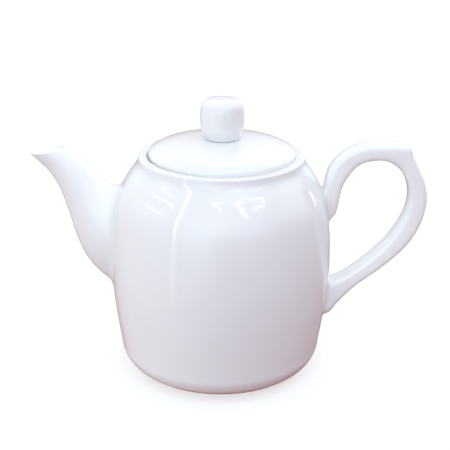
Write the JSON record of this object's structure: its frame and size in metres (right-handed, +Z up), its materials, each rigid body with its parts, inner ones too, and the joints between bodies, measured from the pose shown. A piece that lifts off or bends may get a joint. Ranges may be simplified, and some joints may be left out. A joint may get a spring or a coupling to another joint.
{
  "type": "teapot",
  "caption": "White glazed porcelain teapot with a hollow spout, an ear-shaped handle and a round-knobbed domed lid that lifts off its inset seat.",
  "frame": {"origin": "on the table under the middle of the whole teapot, measured from spout lip to handle and from side to side; the pot's own upright axis is 4.1 mm towards the spout from it", "axes": "+Z up, +X towards the handle with the spout at -X, +Y to the side"},
  "size_m": [0.2065, 0.116, 0.1463],
  "materials": {
    "white_glaze": "glossy clear glaze over white porcelain"
  },
  "bodies": {
    "pot": {"pot_body": "white_glaze", "spout": "white_glaze", "handle": "white_glaze"},
    "lid": {"lid": "white_glaze", "lid_knob": "white_glaze"}
  },
  "joints": [
    {"name": "lid_lift", "type": "slide", "parent": "pot", "child": "lid", "axis": [0, 0, 1], "range_m": [0, 0.045]}
  ]
}
